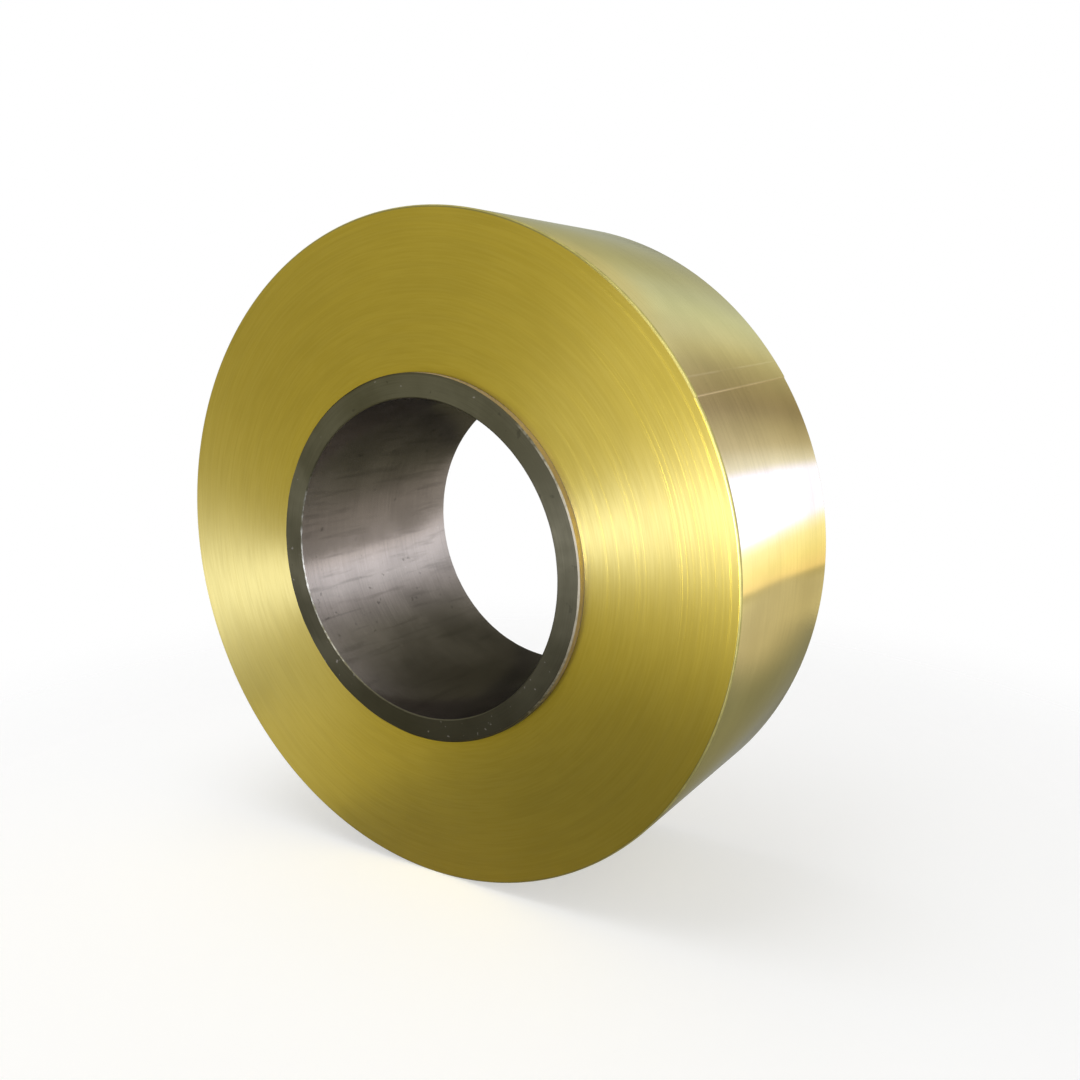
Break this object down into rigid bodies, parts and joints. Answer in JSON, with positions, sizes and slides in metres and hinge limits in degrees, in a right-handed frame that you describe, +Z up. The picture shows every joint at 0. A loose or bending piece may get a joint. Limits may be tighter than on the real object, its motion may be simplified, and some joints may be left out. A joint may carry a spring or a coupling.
{
  "type": "roll of brass strip",
  "caption": "Heavy roll of polished brass strip wound on a bored steel core, raw stock for an uncoiler.",
  "frame": {"origin": "middle of the core's bore, on its axis, halfway along the strip's width", "axes": "+Y along the coil's axis towards the rear end, +Z up, +X to the right as seen from the front end; the coil stands on its rim"},
  "size_m": [1.066, 0.379, 1.0667],
  "materials": {
    "brass": "bright rolled, with fine concentric marks on the ends",
    "core_steel": "dull turned, oiled and scuffed"
  },
  "bodies": {
    "root": {"brass_coil": "brass", "steel_core": "core_steel"}
  },
  "joints": []
}
